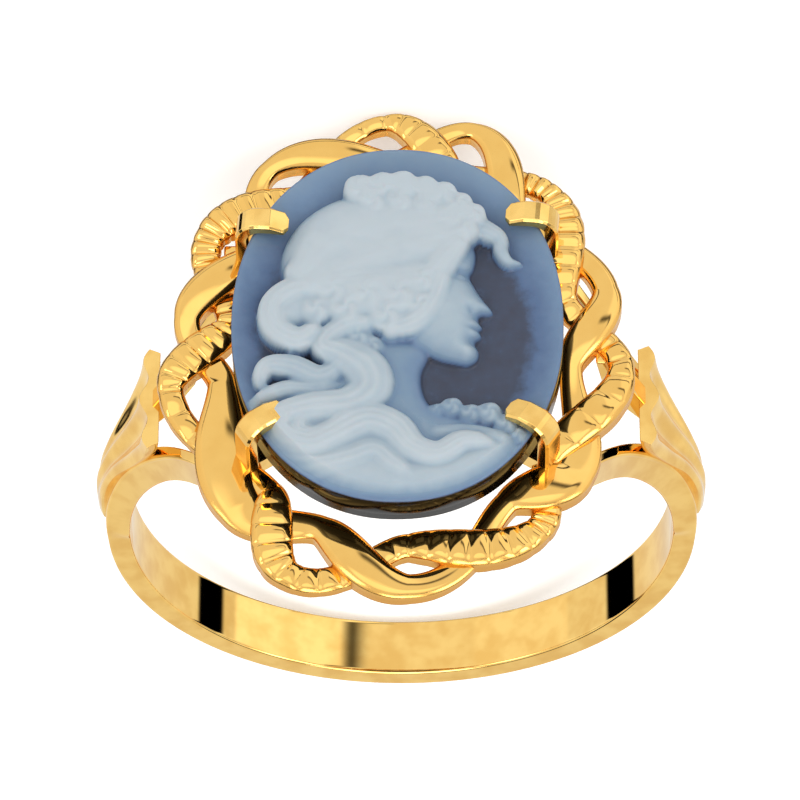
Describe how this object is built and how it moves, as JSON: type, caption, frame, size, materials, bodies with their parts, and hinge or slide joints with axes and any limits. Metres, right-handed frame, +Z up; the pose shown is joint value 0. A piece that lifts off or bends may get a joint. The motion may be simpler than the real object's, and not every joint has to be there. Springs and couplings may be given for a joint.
{
  "type": "cameo ring",
  "caption": "Finger ring with a flat open shank, split shoulders under fluted leaves and an open twisted frame whose claws hold an oval carved stone.",
  "frame": {"origin": "centre of the bounding box on the surface that the ring lies on", "axes": "+Z up; +Y from the cameo's side towards the back of the shank; +X across the fingers, to the cameo's left"},
  "size_m": [0.0188, 0.021, 0.0161],
  "materials": {
    "gold": "polished yellow gold, satin on the claws",
    "agate": "layered agate, pale satin relief over a polished blue-black ground"
  },
  "bodies": {
    "root": {"ring_mount": "gold", "cameo_stone": "agate"}
  },
  "joints": []
}
